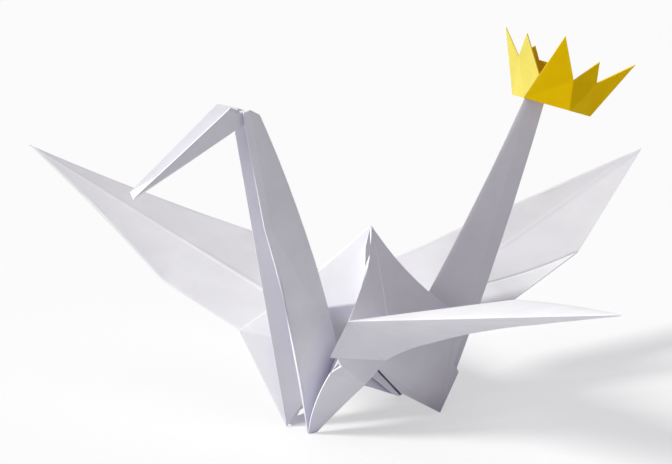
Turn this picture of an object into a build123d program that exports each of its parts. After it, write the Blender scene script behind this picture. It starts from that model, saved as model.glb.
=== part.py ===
from build123d import *
import os

# A crane folded from one square sheet, with a small cut paper crown set on its tail.
# X runs along the body from beak to tail, Y along the wings, Z up.
# The origin lies under the middle of the whole shape, on the surface it stands on.

# Driving sizes, in millimetres
sheet_side = 150.0          # side of the square sheet before folding
wall = 0.30                 # a folded panel: two to four layers of the sheet with the air between them
crown_side = 8.3            # width of the crown's front panel along its lower edge
crown_height = 11.1         # lower edge to the tip of the front spike
crown_depth = 6.0           # front to back of the ring at its lower edge
crown_wall = 0.25           # the crown's card
crown_tilt = 16.0           # degrees that the crown leans from upright
crown_turn = -42.0          # degrees that its front panel is turned about Z
crown_seat = 0.35           # the lower corner of the crown stands this far outside the tail's fold

# Corners of the folded sheet, as shares of its side
corner_shares = {
    # the raised hump and the two inner corners where neck and tail leave the body
    "peak": (-0.090, 0.000, 0.210),
    "front_crotch": (-0.136, 0.000, 0.086),
    "rear_crotch": (-0.033, 0.000, 0.090),
    # near side of the body, with the line that the near wing is folded on
    "near_ridge": (-0.112, -0.014, 0.160),
    "near_front_hip": (-0.200, -0.060, 0.105),
    "near_root": (-0.116, -0.058, 0.100),
    "near_rear_hip": (0.002, -0.050, 0.103),
    "near_front_foot": (-0.168, 0.010, 0.000),
    "near_rear_foot": (-0.019, -0.032, 0.000),
    # the strip hinged on the near front hip, and the darker one behind it with its two inner layers
    "front_strip_top": (-0.124, -0.060, 0.087),
    "front_mouth": (-0.188, -0.057, 0.097),
    "front_mouth_low": (-0.188, -0.047, 0.084),
    "front_hem": (-0.133, -0.039, 0.057),
    "rear_strip_top": (-0.114, -0.055, 0.085),
    "rear_slit_top": (-0.126, -0.051, 0.074),
    "rear_hem": (-0.085, -0.041, 0.033),
    "layer_top": (-0.133, -0.047, 0.068),
    "layer_low": (-0.092, -0.038, 0.037),
    "flap_low": (-0.139, -0.042, 0.060),
    "tuck_top": (-0.013, -0.036, 0.048),
    "tuck_corner": (0.002, -0.034, 0.048),
    "tuck_out": (0.008, -0.032, 0.039),
    # far side of the body
    "far_front_hip": (-0.203, 0.078, 0.103),
    "far_root": (-0.116, 0.060, 0.100),
    "far_rear_hip": (0.000, 0.050, 0.086),
    "far_front_foot": (-0.170, 0.042, 0.000),
    "far_rear_foot": (-0.012, 0.040, 0.000),
    "far_strip_end": (-0.122, 0.062, 0.076),
    "far_front_hem": (-0.133, 0.052, 0.058),
    "far_rear_hem": (-0.082, 0.048, 0.031),
    # near wing, which comes up from its root before it turns outward, with its front strip hanging open
    "near_lead": (-0.190, -0.080, 0.144),
    "near_shoulder": (-0.091, -0.080, 0.135),
    "near_heel": (-0.022, -0.072, 0.126),
    "near_trail": (-0.082, -0.200, 0.171),
    "near_tip": (-0.227, -0.460, 0.239),
    "near_strip_root": (-0.131, -0.066, 0.089),
    "near_strip_middle": (-0.105, -0.100, 0.109),
    "near_strip_outer": (-0.129, -0.250, 0.165),
    "near_back_strip_root": (-0.080, -0.080, 0.118),
    "near_back_strip": (-0.140, -0.200, 0.166),
    # far wing, nearly flat, with both its strips closed below it
    "far_lead": (-0.222, 0.182, 0.139),
    "far_middle": (-0.151, 0.236, 0.161),
    "far_trail": (-0.050, 0.245, 0.154),
    "far_tip": (-0.195, 0.460, 0.238),
    "far_strip_root": (-0.124, 0.066, 0.088),
    "far_strip": (-0.156, 0.237, 0.153),
    "far_back_strip_root": (-0.112, 0.064, 0.087),
    "far_back_strip": (-0.146, 0.238, 0.152),
    # wing behind the tail, with a shallow fold along it and its near hem turned down
    "back_root": (0.023, 0.102, 0.131),
    "back_middle": (0.161, 0.057, 0.131),
    "back_fold": (0.108, 0.028, 0.106),
    "back_low": (0.132, 0.005, 0.089),
    "back_bend": (0.241, 0.011, 0.123),
    "back_tip": (0.427, 0.080, 0.206),
    "back_strip": (0.165, 0.068, 0.134),
    # neck and head
    "neck_spine": (-0.239, 0.000, 0.346),
    "neck_top": (-0.255, -0.004, 0.353),
    "neck_front": (-0.266, -0.009, 0.353),
    "neck_near": (-0.267, -0.010, 0.344),
    "neck_middle": (-0.230, -0.008, 0.194),
    "neck_far": (-0.259, 0.014, 0.330),
    "head_rim_far": (-0.258, 0.010, 0.354),
    "head_rim_near": (-0.273, -0.007, 0.353),
    "head_near": (-0.279, -0.004, 0.359),
    "head_far": (-0.282, 0.012, 0.361),
    "throat_near": (-0.265, -0.007, 0.345),
    "throat": (-0.268, 0.003, 0.334),
    "beak_spine": (-0.394, 0.000, 0.286),
    "beak_near": (-0.395, -0.002, 0.288),
    "beak_far": (-0.395, 0.004, 0.292),
    # tail, which ends inside the crown where its tip is turned in
    "tail_spine": (0.153, 0.000, 0.340),
    "tail_near": (0.172, -0.004, 0.331),
    "tail_far": (0.176, 0.008, 0.330),
}

# The table counts X from a line under the hump, and the part from under the middle of its length
reach_shares = [x for x, y, z in corner_shares.values()]
middle_share = Vector((min(reach_shares) + max(reach_shares)) / 2, 0, 0)
corners = {name: (Vector(*share) - middle_share) * sheet_side for name, share in corner_shares.items()}

# Three corners make one flat panel between creases
body_panels = [
    ("peak", "near_ridge", "near_root"),
    ("near_ridge", "near_front_hip", "near_root"),
    ("peak", "near_root", "near_rear_hip"),
    ("peak", "near_ridge", "front_crotch"),
    ("near_ridge", "near_front_hip", "front_crotch"),
    ("near_front_hip", "near_front_foot", "front_crotch"),
    ("peak", "rear_crotch", "near_rear_hip"),
    ("near_rear_hip", "rear_crotch", "near_rear_foot"),
    ("near_front_hip", "front_strip_top", "front_mouth"),
    ("front_mouth", "front_strip_top", "front_hem"),
    ("front_mouth", "front_hem", "front_mouth_low"),
    ("front_mouth_low", "front_hem", "near_front_foot"),
    ("near_rear_hip", "rear_strip_top", "near_rear_foot"),
    ("rear_strip_top", "rear_slit_top", "near_rear_foot"),
    ("rear_slit_top", "rear_hem", "near_rear_foot"),
    ("rear_strip_top", "layer_top", "layer_low"),
    ("rear_strip_top", "layer_low", "near_rear_foot"),
    ("layer_top", "flap_low", "layer_low"),
    ("tuck_top", "tuck_corner", "tuck_out"),
    ("tuck_top", "tuck_out", "near_rear_foot"),
    ("peak", "far_front_hip", "far_root"),
    ("peak", "far_root", "far_rear_hip"),
    ("peak", "far_front_hip", "front_crotch"),
    ("far_front_hip", "far_front_foot", "front_crotch"),
    ("peak", "rear_crotch", "far_rear_hip"),
    ("far_rear_hip", "rear_crotch", "far_rear_foot"),
    ("far_front_hip", "far_strip_end", "far_front_foot"),
    ("far_strip_end", "far_front_hem", "far_front_foot"),
    ("far_rear_hip", "far_strip_end", "far_rear_foot"),
    ("far_strip_end", "far_rear_hem", "far_rear_foot"),
]
wing_panels = [
    ("near_front_hip", "near_lead", "near_root"),
    ("near_lead", "near_shoulder", "near_root"),
    ("near_root", "near_shoulder", "near_rear_hip"),
    ("near_shoulder", "near_heel", "near_rear_hip"),
    ("near_lead", "near_trail", "near_shoulder"),
    ("near_shoulder", "near_trail", "near_heel"),
    ("near_lead", "near_tip", "near_trail"),
    ("near_front_hip", "near_lead", "near_strip_root"),
    ("near_lead", "near_strip_middle", "near_strip_root"),
    ("near_lead", "near_strip_outer", "near_strip_middle"),
    ("near_lead", "near_tip", "near_strip_outer"),
    ("near_heel", "near_back_strip_root", "near_rear_hip"),
    ("near_heel", "near_trail", "near_back_strip_root"),
    ("near_trail", "near_back_strip", "near_back_strip_root"),
    ("near_trail", "near_tip", "near_back_strip"),
    ("far_front_hip", "far_lead", "far_root"),
    ("far_lead", "far_middle", "far_root"),
    ("far_root", "far_middle", "far_rear_hip"),
    ("far_middle", "far_trail", "far_rear_hip"),
    ("far_lead", "far_tip", "far_middle"),
    ("far_middle", "far_tip", "far_trail"),
    ("far_front_hip", "far_lead", "far_strip_root"),
    ("far_lead", "far_strip", "far_strip_root"),
    ("far_lead", "far_tip", "far_strip"),
    ("far_rear_hip", "far_trail", "far_back_strip_root"),
    ("far_trail", "far_back_strip", "far_back_strip_root"),
    ("far_trail", "far_tip", "far_back_strip"),
    ("back_root", "back_middle", "far_rear_hip"),
    ("back_middle", "back_fold", "far_rear_hip"),
    ("back_root", "back_tip", "back_middle"),
    ("back_middle", "back_tip", "back_bend"),
    ("back_middle", "back_bend", "back_fold"),
    ("back_fold", "back_bend", "back_low"),
    ("back_fold", "back_low", "far_rear_hip"),
    ("back_root", "back_strip", "far_rear_hip"),
    ("back_root", "back_tip", "back_strip"),
]
flap_panels = [
    ("neck_spine", "neck_middle", "front_crotch"),
    ("front_crotch", "neck_middle", "near_front_foot"),
    ("neck_spine", "neck_near", "neck_middle"),
    ("neck_spine", "neck_top", "neck_near"),
    ("neck_top", "neck_front", "neck_near"),
    ("neck_spine", "front_crotch", "far_front_foot"),
    ("neck_spine", "far_front_foot", "neck_far"),
    ("neck_spine", "neck_far", "head_rim_far"),
    ("throat", "head_near", "beak_near"),
    ("throat", "beak_near", "beak_spine"),
    ("throat", "head_near", "head_rim_near"),
    ("throat", "head_rim_near", "throat_near"),
    ("neck_near", "head_rim_near", "neck_front"),
    ("throat", "head_far", "beak_far"),
    ("throat", "beak_far", "beak_spine"),
    ("throat", "head_far", "head_rim_far"),
    ("throat", "neck_far", "head_rim_far"),
    ("rear_crotch", "tail_spine", "near_rear_foot"),
    ("tail_spine", "tail_near", "near_rear_foot"),
    ("rear_crotch", "tail_spine", "far_rear_foot"),
    ("tail_spine", "tail_far", "far_rear_foot"),
]


# Corners of the crown, seen square to its front panel: shares of its side to the right,
# of its height upward and of its depth to the back
crown_shares = {
    "front_left": (0.00, 0.00, 0.00),
    "front_right": (1.00, 0.00, 0.00),
    "front_spike": (0.51, 1.00, -0.20),
    "front_shoulder": (0.90, 0.42, -0.05),
    "left_back": (-0.175, 0.00, 1.00),
    "left_valley": (0.20, 0.39, 0.05),
    "left_spike": (-0.22, 0.90, 0.30),
    "left_notch": (-0.25, 0.54, 0.55),
    "left_horn": (-0.67, 0.88, 1.00),
    "right_back": (1.40, 0.00, 1.00),
    "right_spike": (1.28, 0.79, 0.35),
    "right_notch": (1.34, 0.47, 0.45),
    "right_horn": (1.97, 0.89, 1.00),
    "back_left": (-0.40, 0.40, 1.00),
    "back_spike": (0.02, 0.73, 1.25),
    "back_notch": (0.20, 0.54, 1.25),
    "back_horn": (0.48, 0.74, 1.30),
    "back_valley": (0.75, 0.28, 1.20),
    "back_right": (1.59, 0.30, 1.00),
}
crown_panels = [
    ("front_left", "front_spike", "front_shoulder"),
    ("front_left", "front_shoulder", "front_right"),
    ("front_left", "left_valley", "left_notch"),
    ("left_valley", "left_spike", "left_notch"),
    ("front_left", "left_notch", "left_back"),
    ("left_notch", "left_horn", "left_back"),
    ("front_right", "front_shoulder", "right_notch"),
    ("front_shoulder", "right_spike", "right_notch"),
    ("front_right", "right_notch", "right_back"),
    ("right_notch", "right_horn", "right_back"),
    ("left_back", "back_left", "back_spike"),
    ("left_back", "back_spike", "back_notch"),
    ("left_back", "back_notch", "right_back"),
    ("back_notch", "back_horn", "back_valley"),
    ("back_notch", "back_valley", "right_back"),
    ("back_valley", "back_right", "right_back"),
]
crown_level_share = 0.905   # where the crown's lower edge meets the tail's fold, from crotch to tip


def panel(places, wall):
    """One flat panel of paper between its corners, as the hull of a small block at each corner."""
    half = wall / 2
    steps = [Vector(x, y, z) for x in (-half, half) for y in (-half, half) for z in (-half, half)]
    return ConvexPolyhedron([place + step for place in places for step in steps], mode=Mode.PRIVATE)


def folded(panel_names, places, wall):
    """All the panels that a list names, each between its own places."""
    return [panel([places[name] for name in names], wall) for names in panel_names]


with BuildPart() as crane:
    add(folded(body_panels + wing_panels + flap_panels, corners, wall))
    # the four feet are pressed flat where they meet the table
    split(bisect_by=Plane.XY, keep=Keep.TOP)

# The crown's own frame: its front panel faces the side that the neck and near wing are on
tail_fold = corners["tail_spine"] - corners["rear_crotch"]
crown_level = corners["rear_crotch"] + tail_fold * crown_level_share
crown_right = Vector(1, 0, 0).rotate(Axis.Z, crown_turn)
crown_back = Vector(0, 1, 0).rotate(Axis.Z, crown_turn)
tilt_axis = Axis((0, 0, 0), crown_back)
across = crown_right.rotate(tilt_axis, crown_tilt)
upward = Vector(0, 0, 1).rotate(tilt_axis, crown_tilt)
crown_corner = crown_level - crown_back * crown_seat
crown_corners = {}
for name, (right, up, back) in crown_shares.items():
    along = across * (crown_side * right) + upward * (crown_height * up)
    crown_corners[name] = crown_corner + along + crown_back * (crown_depth * back)

with BuildPart() as crown:
    add(folded(crown_panels, crown_corners, crown_wall))
    add(crane.part, mode=Mode.SUBTRACT)

crane.part.label = "crane"
crown.part.label = "crown"

os.makedirs("parts", exist_ok=True)
export_step(crane.part, "parts/crane.step")
export_step(crown.part, "parts/crown.step")
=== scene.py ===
import math

import bmesh
import bpy
from mathutils import Matrix, Vector, noise


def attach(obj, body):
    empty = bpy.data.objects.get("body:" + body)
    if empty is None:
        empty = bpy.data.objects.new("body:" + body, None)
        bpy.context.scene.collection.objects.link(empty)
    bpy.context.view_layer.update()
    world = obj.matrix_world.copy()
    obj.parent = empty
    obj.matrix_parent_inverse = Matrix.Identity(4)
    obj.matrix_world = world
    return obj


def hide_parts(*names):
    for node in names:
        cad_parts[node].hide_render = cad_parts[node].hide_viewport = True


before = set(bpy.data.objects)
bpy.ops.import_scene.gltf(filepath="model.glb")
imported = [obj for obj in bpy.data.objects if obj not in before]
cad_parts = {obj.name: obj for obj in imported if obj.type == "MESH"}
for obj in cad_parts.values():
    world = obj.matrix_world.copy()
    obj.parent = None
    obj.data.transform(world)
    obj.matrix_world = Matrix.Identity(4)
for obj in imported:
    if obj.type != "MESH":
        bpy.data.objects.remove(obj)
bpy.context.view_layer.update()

print("frame loaded")

mm = 0.001

# The square sheet before folding, and how its folded panels are drawn
sheet = {
    "side": 150 * mm,
    "wall": 0.2 * mm,              # a panel of two layers with the air between them
    "steps": 14,                   # rows across a panel
    "pinch": 1.6,                  # how far the rows crowd towards the creases
    "crumple": 0.07 * mm,          # height of the soft waves that handling leaves
    "crumpleSize": 11 * mm,        # from wave to wave
    "crispFold": 0.7,              # radians, a sharper fold than this keeps a crisp edge
    "ridge": 0.1 * mm,             # how far a pressed crease stands proud
    "softGroups": ("farSectors",),    # all folds in these groups stay round
    # layers that are thinner than the rest, as shares of the wall
    "wallShares": {"peakSliver": 0.3, "footWeb": 0.6, "slitLayer": 0.7, "slitFlap": 0.7,
                   "slitBack": 0.3, "innerMouth": 0.5},
}

# Corners of the folded sheet, as shares of its side: x from beak to tail, y to the far wing, z up
cornerShares = {
    # the raised hump and the two inner corners where neck and tail leave the body
    "peak": (-0.090, 0.000, 0.210),
    "frontCrotch": (-0.136, 0.000, 0.086),
    "rearCrotch": (-0.033, 0.000, 0.090),
    "tailCrotch": (-0.043, -0.010, 0.094),
    # near side of the body
    "sliverTop": (-0.094, -0.002, 0.208),
    "sliverMiddle": (-0.111, -0.014, 0.194),
    "sliverLow": (-0.119, -0.022, 0.176),
    "sliverBack": (-0.102, -0.012, 0.187),
    "nearRidge": (-0.124, -0.027, 0.165),
    "innerCrotch": (-0.100, 0.000, 0.112),
    "sectorHip": (-0.167, -0.038, 0.088),
    "nearFrontHip": (-0.194, -0.053, 0.102),
    "nearRoot": (-0.116, -0.058, 0.100),
    "nearRootBand": (-0.114, -0.059, 0.100),
    "nearRearHip": (0.002, -0.050, 0.103),
    "rearStripHip": (0.014, -0.038, 0.098),
    "nearFrontFoot": (-0.168, 0.010, 0.000),
    "nearRearFoot": (-0.019, -0.032, 0.000),
    "frontStripTop": (-0.111, -0.056, 0.091),
    "mouthTop": (-0.184, -0.053, 0.099),
    "mouthIn": (-0.175, -0.050, 0.088),
    "mouthLow": (-0.185, -0.043, 0.081),
    "mouthLip": (-0.174, -0.045, 0.087),
    "innerMouthTop": (-0.177, -0.046, 0.093),
    "innerMouthLow": (-0.181, -0.040, 0.080),
    "innerMouthEnd": (-0.166, -0.044, 0.083),
    "frontHem": (-0.139, -0.045, 0.060),
    "frontHemFoot": (-0.160, 0.006, 0.001),
    "rearStripTop": (-0.117, -0.049, 0.091),
    "rearSlitTop": (-0.129, -0.047, 0.080),
    "rearHem": (-0.081, -0.040, 0.036),
    "layerTop": (-0.130, -0.045, 0.067),
    "layerLow": (-0.090, -0.038, 0.036),
    "flapTop": (-0.117, -0.034, 0.066),
    "flapRight": (-0.081, -0.030, 0.032),
    "layerInnerTop": (-0.127, -0.042, 0.077),
    "layerInnerLow": (-0.083, -0.037, 0.034),
    "flapLow": (-0.137, -0.044, 0.058),
    "slitDeepTop": (-0.113, -0.030, 0.070),
    "slitDeepLow": (-0.071, -0.026, 0.029),
    "tuckTop": (-0.013, -0.036, 0.048),
    "tuckCorner": (0.002, -0.034, 0.048),
    "tuckOut": (0.008, -0.032, 0.039),
    # far side of the body
    "farFrontHip": (-0.203, 0.078, 0.103),
    "farRoot": (-0.116, 0.060, 0.100),
    "farRearHip": (0.000, 0.050, 0.086),
    "farFrontFoot": (-0.170, 0.042, 0.000),
    "farRearFoot": (-0.012, 0.040, 0.000),
    "farStripEnd": (-0.122, 0.062, 0.076),
    "farFrontHem": (-0.133, 0.052, 0.058),
    "farRearHem": (-0.082, 0.048, 0.031),
    # the pocket that the far side folds into beside the neck, and the web between the front feet
    "pocketLeft": (-0.144, 0.025, 0.126),
    "pocketRight": (-0.106, -0.013, 0.134),
    "pocketLow": (-0.102, 0.045, 0.060),
    "webTop": (-0.156, 0.034, 0.034),
    "webLeft": (-0.170, 0.040, 0.004),
    "webHoleLeft": (-0.161, 0.036, 0.011),
    "webHoleTop": (-0.158, 0.035, 0.017),
    "webHoleRight": (-0.154, 0.034, 0.019),
    "webHoleLow": (-0.153, 0.033, 0.013),
    "webBandLeft": (-0.165, 0.038, 0.001),
    "webBandRight": (-0.152, 0.030, 0.003),
    # near wing
    "nearLead": (-0.192, -0.078, 0.144),
    "nearShoulder": (-0.091, -0.080, 0.135),
    "nearHeel": (-0.022, -0.072, 0.126),
    "nearTrail": (-0.082, -0.200, 0.171),
    "nearTip": (-0.227, -0.460, 0.239),
    "nearStripRoot": (-0.131, -0.066, 0.089),
    "nearStripMiddle": (-0.105, -0.100, 0.109),
    "nearStripOuter": (-0.129, -0.250, 0.165),
    "nearBackStripRoot": (-0.080, -0.080, 0.118),
    "nearBackStrip": (-0.140, -0.200, 0.166),
    # far wing
    "farLead": (-0.222, 0.182, 0.139),
    "farMiddle": (-0.151, 0.236, 0.161),
    "farTrail": (-0.050, 0.245, 0.154),
    "farTip": (-0.195, 0.460, 0.238),
    "farStripRoot": (-0.124, 0.066, 0.088),
    "farStrip": (-0.156, 0.237, 0.153),
    "farBackStripRoot": (-0.112, 0.064, 0.087),
    "farBackStrip": (-0.146, 0.238, 0.152),
    # wing behind the tail
    "backRoot": (0.023, 0.102, 0.131),
    "backMiddle": (0.161, 0.057, 0.131),
    "backFold": (0.108, 0.028, 0.106),
    "backLow": (0.125, -0.002, 0.092),
    "backBend": (0.241, 0.011, 0.123),
    "backTip": (0.427, 0.080, 0.206),
    "backStrip": (0.165, 0.068, 0.134),
    # neck and head
    "neckSpine": (-0.239, 0.000, 0.346),
    "neckTop": (-0.250, -0.004, 0.350),
    "neckRoll": (-0.260, -0.010, 0.355),
    "neckRollMiddle": (-0.235, -0.012, 0.233),
    "neckFront": (-0.266, -0.008, 0.353),
    "neckNear": (-0.266, -0.009, 0.343),
    "neckMiddle": (-0.242, -0.010, 0.233),
    "neckFar": (-0.259, 0.014, 0.330),
    "headRimFar": (-0.259, 0.009, 0.354),
    "holeBottom": (-0.270, -0.004, 0.352),
    "holeRight": (-0.255, -0.004, 0.353),
    "holeLip": (-0.263, 0.002, 0.352),
    "headNear": (-0.279, -0.004, 0.359),
    "headFar": (-0.273, 0.023, 0.358),
    "throatIn": (-0.260, -0.003, 0.341),
    "throat": (-0.273, -0.003, 0.336),
    "beakSpine": (-0.393, 0.002, 0.285),
    "beakNear": (-0.395, -0.002, 0.288),
    "beakFar": (-0.390, 0.011, 0.290),
    # tail
    "tailSpine": (0.153, 0.000, 0.340),
    "tailNear": (0.172, -0.004, 0.331),
    "tailFar": (0.176, 0.008, 0.330),
}

# How far the middle of a crease or edge leaves the straight line between its corners, as shares of
# the side
curlShares = {
    "neckSpine frontCrotch": (0.008, 0.000, 0.000),
    "headNear holeBottom": (-0.001, 0.000, -0.001),
    "holeBottom holeRight": (0.001, 0.000, -0.001),
    "peak nearRearHip": (-0.004, 0.000, -0.008),
    "peak nearRidge": (0.002, 0.000, -0.003),
    "nearRidge nearFrontHip": (0.002, 0.000, -0.003),
    "peak farFrontHip": (0.000, 0.000, -0.004),
    "peak nearRoot": (0.002, 0.002, 0.002),
    "peak nearRootBand": (0.002, 0.002, 0.002),
    "farTip farTrail": (0.000, 0.000, -0.003),
    "farTip farLead": (0.000, 0.000, 0.004),
    "tailNear nearRearFoot": (0.007, 0.000, 0.000),
    "tailFar farRearFoot": (-0.004, 0.000, 0.000),
    "tailCrotch tailSpine": (0.006, 0.000, 0.000),
    "nearLead nearShoulder": (0.000, 0.000, -0.002),
    "nearTip nearTrail": (0.000, 0.000, 0.002),
    "nearStripMiddle nearStripOuter": (0.000, 0.000, 0.002),
    "nearStripRoot nearStripMiddle": (0.000, 0.000, 0.002),
    "mouthLow nearFrontFoot": (-0.004, 0.002, 0.000),
    "neckMiddle nearFrontFoot": (0.003, -0.003, 0.000),
    "frontHem frontHemFoot": (0.000, 0.000, 0.001),
    "backTip backRoot": (0.000, 0.000, 0.001),
    "backBend backFold": (0.000, 0.000, -0.003),
}

# Creases that were pressed and opened again, as shares of the ridge. One below zero is a groove.
# The corners stand in alphabetical order.
pressedCreases = {
    "farMiddle farRoot": 1.0, "farMiddle farTip": 0.4,
    "backMiddle backTip": 0.4,
    "backBend backFold": -1.4,
}

# How far the middle of a panel stands off the plane of its corners, as shares of the side
bellyShares = {
    "peak nearRootBand nearRearHip": (0.000, 0.007, 0.000),
    "neckSpine neckRollMiddle frontCrotch": (0.001, -0.002, 0.000),
    "rearStripHip rearStripTop nearRearFoot": (0.000, -0.003, 0.000),
    "nearLead nearTip nearTrail": (0.000, 0.000, 0.002),
}

# The corners count x from a line under the hump, and the frame from under the middle of its length
reachShares = [share[0] for share in cornerShares.values()]
middle = Vector(((min(reachShares) + max(reachShares)) / 2, 0, 0))
places = {name: (Vector(share) - middle) * sheet["side"] for name, share in cornerShares.items()}

# These make a curl whole at the middle of its crease, and a belly at the middle of its panel
curlPeak = 4
bellyPeak = 27

# A panel whose first word is one of these takes that paper of its piece, and not the first.
# A crease band on the hump takes the paler paper of the cut edges: open fibre in part, and in part
# a painted highlight where the crease catches the light. The crown's left side takes painted sunlight.
paperKinds = {"worn": 1, "bleached": 2}


def sharedPoint(names, counts):
    # one point of a panel from its corner counts, so that two panels agree along their common crease
    powers = [count ** sheet["pinch"] for count in counts]
    parts = [power / sum(powers) for power in powers]
    place = Vector()
    for name, part in zip(names, parts):
        place += places[name] * part
    for i, j in ((0, 1), (1, 2), (2, 0)):
        curl = curlShares.get(names[i] + " " + names[j]) or curlShares.get(names[j] + " " + names[i])
        if curl:
            place += Vector(curl) * (sheet["side"] * curlPeak * parts[i] * parts[j])
    belly = bellyShares.get(" ".join(names))
    if belly:
        place += Vector(belly) * (sheet["side"] * bellyPeak * parts[0] * parts[1] * parts[2])
    return place


def foldedSheet(panels):
    # panels that share two corners are welded along the crease between them
    bm = bmesh.new()
    fold = bm.verts.layers.float.new("fold")
    made = {}
    steps = sheet["steps"]
    for panel in panels:
        words = panel.split()
        kind = paperKinds.get(words[0], 0)
        names = words[-3:]
        first = len(bm.faces)
        grid = {}
        for i in range(steps + 1):
            for j in range(steps + 1 - i):
                counts = (i, j, steps - i - j)
                key = tuple(sorted((name, count) for name, count in zip(names, counts) if count))
                if key not in made:
                    made[key] = bm.verts.new(sharedPoint(names, counts))
                    corners = " ".join(sorted(name for name, count in key))
                    made[key][fold] = pressedCreases.get(corners, 0.0)
                grid[i, j] = made[key]
        for i in range(steps):
            for j in range(steps - i):
                bm.faces.new((grid[i, j], grid[i + 1, j], grid[i, j + 1]))
                if i + j < steps - 1:
                    bm.faces.new((grid[i + 1, j], grid[i + 1, j + 1], grid[i, j + 1]))
        for face in list(bm.faces)[first:]:
            face.material_index = kind
    bmesh.ops.recalc_face_normals(bm, faces=bm.faces)
    bm.normal_update()
    return bm


def thickPaper(name, groups, wall, crumple, papers):
    # every group of panels becomes one closed sheet with a real wall and square cut edges
    points, faces, kinds, crispEdges = [], [], [], set()
    for group, panels in groups.items():
        bm = foldedSheet(panels)
        thick = wall * sheet["wallShares"].get(group, 1.0)
        bm.verts.index_update()
        fold = bm.verts.layers.float["fold"]
        first, count = len(points), len(bm.verts)
        for side in (0.5, -0.5):
            for vertex in bm.verts:
                wave = noise.noise(vertex.co / sheet["crumpleSize"]) * crumple
                if not vertex.is_boundary:
                    wave += vertex[fold] * sheet["ridge"]
                place = vertex.co + vertex.normal * (wave + side * thick)
                place.z = max(place.z, 0.0)
                points.append(place)
        for face in bm.faces:
            a, b, c = (first + vertex.index for vertex in face.verts)
            faces += [(a, b, c), (c + count, b + count, a + count)]
            kinds += [face.material_index] * 2
        for edge in bm.edges:
            loop = edge.link_loops[0]
            a, b = first + loop.vert.index, first + loop.link_loop_next.vert.index
            if edge.is_boundary:
                faces.append((b, a, a + count, b + count))
                # the cut edge takes the paler paper: open fibre, with a painted highlight
                kinds.append(paperKinds["worn"])
            elif group in sheet["softGroups"] or edge.calc_face_angle(0.0) <= sheet["crispFold"]:
                continue
            crispEdges |= {tuple(sorted(pair)) for pair in ((a, b), (a + count, b + count))}
        bm.free()
    mesh = bpy.data.meshes.new(name)
    mesh.from_pydata(points, [], faces)
    for paper in papers:
        mesh.materials.append(paper)
    mesh.polygons.foreach_set("material_index", kinds)
    mesh.shade_smooth()
    sharp = mesh.attributes.new("sharp_edge", "BOOLEAN", "EDGE")
    sharp.data.foreach_set("value", [tuple(sorted(edge.vertices)) in crispEdges for edge in mesh.edges])
    mesh.validate()
    piece = bpy.data.objects.new(name, mesh)
    bpy.context.scene.collection.objects.link(piece)
    return piece


def linear(code):
    # an sRGB hex value as linear colour
    values = [int(code[i:i + 2], 16) / 255 for i in (1, 3, 5)]
    return tuple(v / 12.92 if v <= 0.04045 else ((v + 0.055) / 1.055) ** 2.4 for v in values) + (1.0,)


def addNode(tree, kind, settings={}, links={}):
    # a setting is a socket's value where the node has that socket, and its own property otherwise
    node = tree.nodes.new(kind)
    for name, value in settings.items():
        if name in node.inputs:
            node.inputs[name].default_value = value
        else:
            setattr(node, name, value)
    for name, socket in links.items():
        tree.links.new(socket, node.inputs[name])
    return node


def uncoatedPaper(name, look):
    # pressed wood fibre with no coating: matt, faintly cloudy, with a fine tooth that shows only
    # at a low angle. Its folds get painted shade.
    material = bpy.data.materials.new(name)
    material.use_nodes = True
    tree = material.node_tree
    tree.nodes.clear()
    place = addNode(tree, "ShaderNodeTexCoord").outputs["Object"]
    cloud = addNode(tree, "ShaderNodeTexNoise",
                    {"Scale": 1 / look["cloudSize"], "Detail": 3.0}, {"Vector": place})
    # the noise keeps mostly between these two values
    tint = addNode(tree, "ShaderNodeMapRange",
                   {"From Min": 0.3, "From Max": 0.7}, {"Value": cloud.outputs["Fac"]})
    colour = addNode(tree, "ShaderNodeMix", {"data_type": "RGBA"}, {"Factor": tint.outputs["Result"]})
    colour.inputs["A"].default_value = linear(look["shade"])
    colour.inputs["B"].default_value = linear(look["colour"])
    # painted shade: where the ambient occlusion finds paper close by, the colour turns towards the fold
    # shade colour, which stands in for the shade in the folds and the bluer light that white paper throws
    # into them
    depth = addNode(tree, "ShaderNodeAmbientOcclusion", {"Distance": look["foldShadeReach"], "samples": 12})
    unshadedShare = addNode(tree, "ShaderNodeMath", {"operation": "POWER"}, {0: depth.outputs["AO"]})
    unshadedShare.inputs[1].default_value = look["foldShadePower"]
    foldShaded = addNode(tree, "ShaderNodeMix", {"data_type": "RGBA"}, {"Factor": unshadedShare.outputs["Value"]})
    foldShaded.inputs["A"].default_value = linear(look["foldShadeColour"])
    tree.links.new(colour.outputs["Result"], foldShaded.inputs["B"])
    fibre = addNode(tree, "ShaderNodeTexNoise",
                    {"Scale": 1 / look["fibreSize"], "Detail": 4.0}, {"Vector": place})
    tooth = addNode(tree, "ShaderNodeBump",
                    {"Strength": look["tooth"], "Distance": look["fibreHeight"]},
                    {"Height": fibre.outputs["Fac"]})
    surface = addNode(tree, "ShaderNodeBsdfPrincipled",
                      {"Roughness": look["roughness"], "IOR": 1.5, "Specular IOR Level": look["gloss"],
                       "Subsurface Weight": look["glow"], "Subsurface Radius": (1.0, 1.0, 1.0),
                       "Subsurface Scale": look["glowDepth"]},
                      {"Base Color": foldShaded.outputs["Result"], "Normal": tooth.outputs["Normal"]})
    addNode(tree, "ShaderNodeOutputMaterial", {}, {"Surface": surface.outputs["BSDF"]})
    return material


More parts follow.
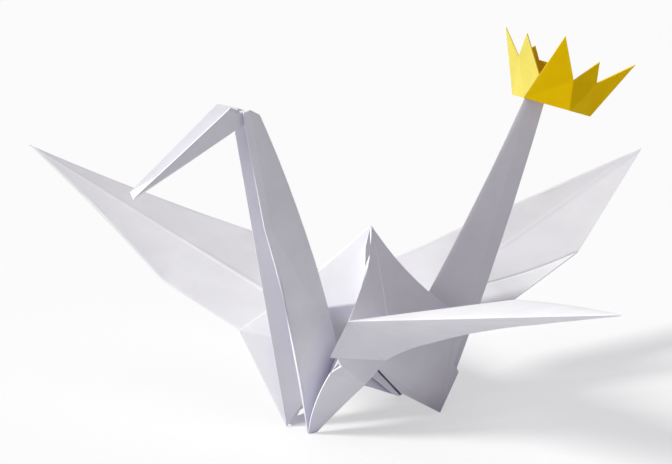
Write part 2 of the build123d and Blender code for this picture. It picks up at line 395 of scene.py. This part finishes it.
# White uncoated copying paper, 80 g to the square metre. A real fibre is about 0.03 mm across,
# too fine to show, so the tooth of both papers is drawn at 0.4 mm.
whitePaper = {
    "colour": "#F4F3F6", "shade": "#EEEDF1", "cloudSize": 6 * mm,
    "fibreSize": 0.4 * mm, "fibreHeight": 0.05 * mm, "tooth": 0.25,
    "roughness": 0.9, "gloss": 0.3, "glow": 0.1, "glowDepth": 0.1 * mm,
    # painted shade: the darker lavender that deep folds are painted with, and how far and how strongly it
    # reaches
    "foldShadeColour": "#B3B2D8", "foldShadeReach": 5 * mm, "foldShadePower": 0.3,
}
# Its cut edge: open fibre ends, painted whiter than the face as a painted highlight where they catch the
# light
whiteEdgeAndHighlight = dict(whitePaper, colour="#FFFFFF", shade="#FAFAFF")
# Yellow uncoated paper. Its folds get painted shade, a darker orange where they face each other
yellowPaper = {
    "colour": "#FDD204", "shade": "#F9CA02", "cloudSize": 4 * mm,
    "fibreSize": 0.4 * mm, "fibreHeight": 0.05 * mm, "tooth": 0.25,
    "roughness": 0.8, "gloss": 0.05, "glow": 0.3, "glowDepth": 0.4 * mm,
    # painted shade: the darker orange that the folds are painted with
    "foldShadeColour": "#D89400", "foldShadeReach": 6 * mm, "foldShadePower": 1.0,
}
# Its cut edge, painted paler: a painted highlight where it catches the light
yellowEdge = dict(yellowPaper, colour="#FFDE55", shade="#FFD93F")
# Painted light: the left side of the crown, which faces the key light, is painted a paler yellow than the
# light alone makes it, a lit copy of the same paper
yellowSunlitPainted = dict(yellowPaper, colour="#DDCE66", shade="#D9CA60")

white = uncoatedPaper("whiteUncoatedPaper", whitePaper)
whiteCutAndHighlight = uncoatedPaper("whitePaperCutEdgeAndHighlight", whiteEdgeAndHighlight)
yellow = uncoatedPaper("yellowUncoatedPaper", yellowPaper)
yellowCut = uncoatedPaper("yellowPaperCutEdge", yellowEdge)
yellowPaintedSunlit = uncoatedPaper("yellowPaperSunlitPainted", yellowSunlitPainted)
print("paper materials made")

# The folded sheet: each panel by its three corners. Panels of one group are welded along their
# creases. Each group is a closed sheet of its own, and runs into the next ones where they meet.
crane = {
    "neck": [
        "neckSpine neckRollMiddle frontCrotch",
        "frontCrotch neckRollMiddle nearFrontFoot",
        "neckSpine neckRoll neckRollMiddle",
        "neckSpine neckTop neckRoll",
        "neckRoll neckFront neckNear",
        "neckRoll neckNear neckRollMiddle",
        "neckNear neckMiddle neckRollMiddle",
        "neckRollMiddle neckMiddle nearFrontFoot",
        "neckSpine frontCrotch farFrontFoot",
        "neckSpine farFrontFoot neckFar",
        "neckSpine neckFar headRimFar",
    ],
    "beak": [
        "throat headNear beakNear",
        "throat beakNear beakSpine",
        "throat headNear holeBottom",
        "throat holeBottom throatIn",
        "holeBottom holeRight throatIn",
        "headNear holeBottom holeLip",
        "holeBottom holeRight holeLip",
        "throat headFar beakFar",
        "throat beakFar beakSpine",
        "throat headFar headRimFar",
    ],
    "tail": [
        "tailCrotch tailSpine nearRearFoot",
        "tailSpine tailNear nearRearFoot",
        "tailCrotch tailSpine farRearFoot",
        "tailSpine tailFar farRearFoot",
    ],
    "nearHumpAndWing": [
        "peak nearRidge nearRoot",
        "nearRidge nearFrontHip nearRoot",
        # painted highlight: this band along the hump's crease takes the paler cut-edge paper
        "worn peak nearRoot nearRootBand",
        "peak nearRootBand nearRearHip",
        "nearRoot nearRootBand nearRearHip",
        "nearFrontHip nearLead nearRoot",
        "nearLead nearShoulder nearRoot",
        "nearRoot nearShoulder nearRearHip",
        "nearShoulder nearHeel nearRearHip",
        "nearLead nearTrail nearShoulder",
        "nearShoulder nearTrail nearHeel",
        "nearLead nearTip nearTrail",
        "nearFrontHip nearLead nearStripRoot",
        "nearLead nearStripMiddle nearStripRoot",
        "nearLead nearStripOuter nearStripMiddle",
        "nearLead nearTip nearStripOuter",
        "nearHeel nearBackStripRoot nearRearHip",
        "nearHeel nearTrail nearBackStripRoot",
        "nearTrail nearBackStrip nearBackStripRoot",
        "nearTrail nearTip nearBackStrip",
    ],
    "peakSliver": [
        "sliverTop sliverMiddle sliverBack",
        "sliverMiddle sliverLow sliverBack",
    ],
    "nearSectors": [
        "peak nearRidge innerCrotch",
        "nearRidge sectorHip innerCrotch",
        "sectorHip frontCrotch innerCrotch",
        "sectorHip nearFrontFoot frontCrotch",
    ],
    "innerMouth": [
        "innerMouthTop innerMouthLow innerMouthEnd",
    ],
    "nearRearSector": [
        "peak rearCrotch nearRearHip",
        "nearRearHip rearCrotch nearRearFoot",
    ],
    "frontStrip": [
        "mouthTop frontStripTop mouthIn",
        "mouthIn frontStripTop frontHem",
        "mouthIn frontHem mouthLow",
        "mouthTop mouthIn mouthLip",
        "mouthIn mouthLow mouthLip",
        "mouthLow frontHem nearFrontFoot",
        "frontHem frontHemFoot nearFrontFoot",
    ],
    "rearStrip": [
        "rearStripHip rearStripTop nearRearFoot",
        "rearStripTop rearSlitTop nearRearFoot",
        "rearSlitTop rearHem nearRearFoot",
    ],
    "slitLayer": [
        "layerInnerTop layerTop layerLow",
        "layerInnerTop layerLow layerInnerLow",
    ],
    "slitFlap": [
        "flapTop flapLow flapRight",
    ],
    "slitBack": [
        "rearSlitTop rearHem slitDeepLow",
        "rearSlitTop slitDeepLow slitDeepTop",
        "layerInnerTop layerInnerLow slitDeepLow",
        "layerInnerTop slitDeepLow slitDeepTop",
    ],
    "rearTuck": [
        "tuckTop tuckCorner tuckOut",
        "tuckTop tuckOut nearRearFoot",
    ],
    "farHumpAndWing": [
        "peak farFrontHip farRoot",
        "peak farRoot farRearHip",
        "farFrontHip farLead farRoot",
        "farLead farMiddle farRoot",
        "farRoot farMiddle farRearHip",
        "farMiddle farTrail farRearHip",
        "farLead farTip farMiddle",
        "farMiddle farTip farTrail",
        "farFrontHip farLead farStripRoot",
        "farLead farStrip farStripRoot",
        "farLead farTip farStrip",
        "farRearHip farTrail farBackStripRoot",
        "farTrail farBackStrip farBackStripRoot",
        "farTrail farTip farBackStrip",
    ],
    "farSectors": [
        "peak farFrontHip pocketLeft",
        "peak pocketLeft pocketRight",
        "pocketLeft pocketRight pocketLow",
        "farFrontHip pocketLeft frontCrotch",
        "farFrontHip farFrontFoot frontCrotch",
    ],
    "footWeb": [
        "webTop webLeft webHoleLeft",
        "webTop webHoleLeft webHoleTop",
        "webTop webHoleTop webHoleRight",
        "webLeft webBandLeft webHoleLeft",
        "webHoleLeft webBandLeft webHoleLow",
        "webBandLeft webBandRight webHoleLow",
    ],
    "farRearSector": [
        "peak rearCrotch farRearHip",
        "farRearHip rearCrotch farRearFoot",
    ],
    "farStrips": [
        "farFrontHip farStripEnd farFrontFoot",
        "farStripEnd farFrontHem farFrontFoot",
    ],
    "farRearStrip": [
        "farRearHip farStripEnd farRearFoot",
        "farStripEnd farRearHem farRearFoot",
    ],
    "backWing": [
        "backRoot backMiddle farRearHip",
        "backMiddle backFold farRearHip",
        "backRoot backTip backMiddle",
        "backMiddle backTip backBend",
        "backMiddle backBend backFold",
        "backFold backBend backLow",
        "backFold backLow farRearHip",
        "backRoot backStrip farRearHip",
        "backRoot backTip backStrip",
    ],
}

foldedCrane = thickPaper("foldedCrane", crane, sheet["wall"], sheet["crumple"], (white, whiteCutAndHighlight))
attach(foldedCrane, "root")
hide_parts("crane")
print("crane folded")

# The crown, a strip of paper round the tip of the tail
crown = {
    "side": 8.3 * mm,              # width of its front panel along the lower edge
    "height": 11.1 * mm,
    "depth": 6 * mm,
    "wall": 0.2 * mm,
    "tilt": 16.0,                  # degrees that it leans from upright
    "turn": -42.0,                 # degrees that its front panel is turned about Z
    "seat": 0.35 * mm,             # its lower corner stands this far outside the tail's fold
    "levelShare": 0.905,           # its place along the tail's fold
    # corners seen square to the front panel: shares of its side to the right, of its height up
    # and of its depth back
    "shares": {
        "frontLeft": (0.00, 0.00, 0.00), "frontRight": (0.94, 0.00, 0.00),
        "frontSpike": (0.393, 1.055, -0.20), "frontShoulder": (0.824, 0.45, -0.05),
        "leftBack": (-0.14, -0.09, 1.00), "leftValley": (0.147, 0.395, -0.06),
        "leftSpike": (-0.29, 0.90, 0.30), "leftNotch": (-0.29, 0.52, 0.55), "leftHorn": (-0.66, 0.85, 1.00),
        "rightBack": (1.46, -0.085, 1.00), "rightSpike": (1.24, 0.785, 0.35),
        "rightNotch": (1.32, 0.46, 0.45), "rightHorn": (2.01, 0.84, 1.00),
        "backLeft": (-0.40, 0.40, 1.00), "backSpike": (0.02, 0.69, 1.25), "backNotch": (0.18, 0.50, 1.25),
        "backHorn": (0.55, 0.50, 1.30), "backValley": (0.75, 0.22, 1.20), "backRight": (1.59, 0.30, 1.00),
    },
    "panels": [
        "frontLeft frontSpike frontShoulder", "frontLeft frontShoulder frontRight",
        # painted light: the left panels take the paler, sunlit yellow
        "bleached frontLeft leftValley leftNotch", "bleached leftValley leftSpike leftNotch",
        "bleached frontLeft leftNotch leftBack", "bleached leftNotch leftHorn leftBack",
        "frontRight frontShoulder rightNotch", "frontShoulder rightSpike rightNotch",
        "frontRight rightNotch rightBack", "rightNotch rightHorn rightBack",
        "leftBack backLeft backSpike", "leftBack backSpike backNotch", "leftBack backNotch rightBack",
        "backNotch backHorn backValley", "backNotch backValley rightBack", "backValley backRight rightBack",
    ],
}


def placeCrown():
    # the crown leans with its own tilt and stands with its lower edge round the tail
    turned = Matrix.Rotation(math.radians(crown["turn"]), 3, "Z")
    back = turned @ Vector((0, 1, 0))
    tilted = Matrix.Rotation(math.radians(crown["tilt"]), 3, back)
    across = tilted @ (turned @ Vector((1, 0, 0)))
    upward = tilted @ Vector((0, 0, 1))
    corner = places["rearCrotch"].lerp(places["tailSpine"], crown["levelShare"]) - back * crown["seat"]
    for name, (right, up, deep) in crown["shares"].items():
        places[name] = (corner + across * (crown["side"] * right) + upward * (crown["height"] * up)
                        + back * (crown["depth"] * deep))


placeCrown()
paperCrown = thickPaper("paperCrown", {"ring": crown["panels"]}, crown["wall"], 0.0,
                        (yellow, yellowCut, yellowPaintedSunlit))
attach(paperCrown, "root")
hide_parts("crown")
print("crown set on the tail")

# The room: a pale floor, a window at the far left, soft light from above and the camera
studio = {
    "floorSize": 3.0, "floorDrop": 0.02 * mm,
    "floorColour": "#DCDCE0",      # as it lights the paper
    "floorSeen": "#FCFCFD", "floorGlow": 0.5,
    "fillColour": "#7E7A84", "fillStrength": 1.0,
    "backdropColour": "#FAFAFB",
    # softness in degrees across the light
    "keyFrom": (-0.77, 0.32, 0.555), "keySoftness": 14.0, "keyStrength": 3.45, "keyColour": "#FCFEF8",
    "topFrom": (0.0, 0.05, 1.0), "topSoftness": 60.0, "topStrength": 0.48, "topColour": "#FFFFFF",
    "cameraPlace": (-0.25382, -0.25614, 0.11769), "cameraForward": (0.64925, 0.72107, -0.24192),
    "lens": 124.7, "sensor": 36.0,
}


def seenStraight(tree):
    # one for what the camera sees, also by way of a gloss or through a clear thing
    path = addNode(tree, "ShaderNodeLightPath")
    glossy = addNode(tree, "ShaderNodeMath", {"operation": "MAXIMUM"},
                     {0: path.outputs["Is Camera Ray"], 1: path.outputs["Is Glossy Ray"]})
    clear = addNode(tree, "ShaderNodeMath", {"operation": "MAXIMUM"},
                    {0: glossy.outputs["Value"], 1: path.outputs["Is Transmission Ray"]})
    return clear.outputs["Value"]


def setFloor():
    bpy.ops.mesh.primitive_plane_add(size=studio["floorSize"], location=(0, 0, -studio["floorDrop"]))
    floor = bpy.context.object
    floor.name = "floor"
    material = bpy.data.materials.new("paleMattFloor")
    material.use_nodes = True
    tree = material.node_tree
    tree.nodes.clear()
    # the camera sees the floor near white with a light shadow, while what it throws back onto the
    # paper stays dimmer
    plain = addNode(tree, "ShaderNodeBsdfDiffuse", {"Color": linear(studio["floorColour"])})
    pale = addNode(tree, "ShaderNodeBsdfDiffuse", {"Color": linear(studio["floorSeen"])})
    glow = addNode(tree, "ShaderNodeEmission", {"Color": (1.0, 1.0, 1.0, 1.0), "Strength": 1.0})
    bright = addNode(tree, "ShaderNodeMixShader", {"Fac": studio["floorGlow"]})
    tree.links.new(pale.outputs["BSDF"], bright.inputs[1])
    tree.links.new(glow.outputs["Emission"], bright.inputs[2])
    mix = addNode(tree, "ShaderNodeMixShader", {}, {"Fac": seenStraight(tree)})
    tree.links.new(plain.outputs["BSDF"], mix.inputs[1])
    tree.links.new(bright.outputs["Shader"], mix.inputs[2])
    addNode(tree, "ShaderNodeOutputMaterial", {}, {"Surface": mix.outputs["Shader"]})
    floor.data.materials.append(material)


def setLight():
    # a dim lavender room fills the folds, and the camera sees it as a pale backdrop
    world = bpy.data.worlds.new("softRoom")
    bpy.context.scene.world = world
    world.use_nodes = True
    tree = world.node_tree
    tree.nodes.clear()
    room = addNode(tree, "ShaderNodeBackground",
                   {"Color": linear(studio["fillColour"]), "Strength": studio["fillStrength"]})
    backdrop = addNode(tree, "ShaderNodeBackground",
                       {"Color": linear(studio["backdropColour"]), "Strength": 1.0})
    mix = addNode(tree, "ShaderNodeMixShader", {}, {"Fac": seenStraight(tree)})
    tree.links.new(room.outputs["Background"], mix.inputs[1])
    tree.links.new(backdrop.outputs["Background"], mix.inputs[2])
    addNode(tree, "ShaderNodeOutputWorld", {}, {"Surface": mix.outputs["Shader"]})
    for name in ("key", "top"):
        lamp = bpy.data.lights.new(name + "Panel", "SUN")
        lamp.angle = math.radians(studio[name + "Softness"])
        lamp.energy = studio[name + "Strength"]
        lamp.color = linear(studio[name + "Colour"])[:3]
        panel = bpy.data.objects.new(name + "Panel", lamp)
        panel.location = studio[name + "From"]
        panel.rotation_euler = (-panel.location).to_track_quat("-Z", "Y").to_euler()
        bpy.context.scene.collection.objects.link(panel)


def setCamera():
    data = bpy.data.cameras.new("camera")
    data.lens = studio["lens"]
    data.sensor_width = studio["sensor"]
    camera = bpy.data.objects.new("camera", data)
    camera.location = studio["cameraPlace"]
    camera.rotation_euler = Vector(studio["cameraForward"]).to_track_quat("-Z", "Y").to_euler()
    bpy.context.scene.collection.objects.link(camera)
    bpy.context.scene.camera = camera


setFloor()
setLight()
setCamera()
bpy.context.scene.view_settings.view_transform = "Standard"
print("floor, light and camera set")
